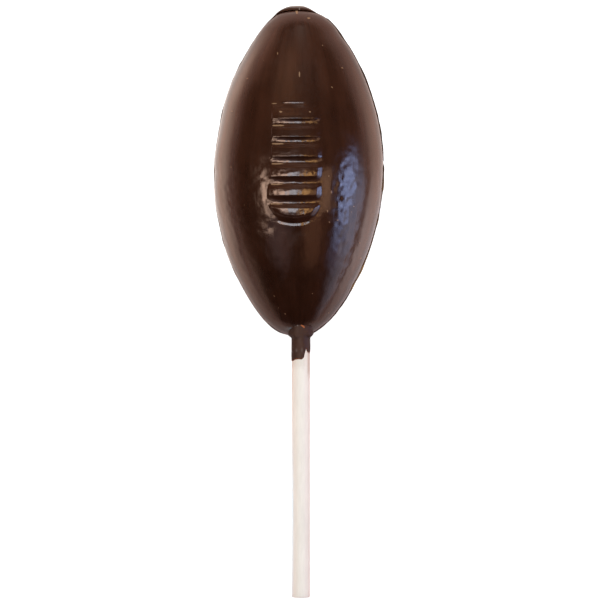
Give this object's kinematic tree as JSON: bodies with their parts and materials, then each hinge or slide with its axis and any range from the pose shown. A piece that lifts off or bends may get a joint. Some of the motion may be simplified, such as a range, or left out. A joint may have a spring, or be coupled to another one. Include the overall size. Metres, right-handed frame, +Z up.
{
  "type": "chocolate lollipop",
  "caption": "Dark chocolate lollipop: half a laced oval ball, moulded flat at the back, on a white paper stick.",
  "frame": {"origin": "bottom centre of the whole lollipop as it lies on its flat back", "axes": "+Y from the stick's free end to the ball's top tip, +Z up out of the laced front, +X to the right of someone who faces the laces with the ball on top"},
  "size_m": [0.0413, 0.142, 0.0167],
  "materials": {
    "dark_chocolate": null,
    "white_paper": "smooth matt rolled paper, warm white"
  },
  "bodies": {
    "root": {"chocolate_football": "dark_chocolate", "paper_stick": "white_paper"}
  },
  "joints": []
}
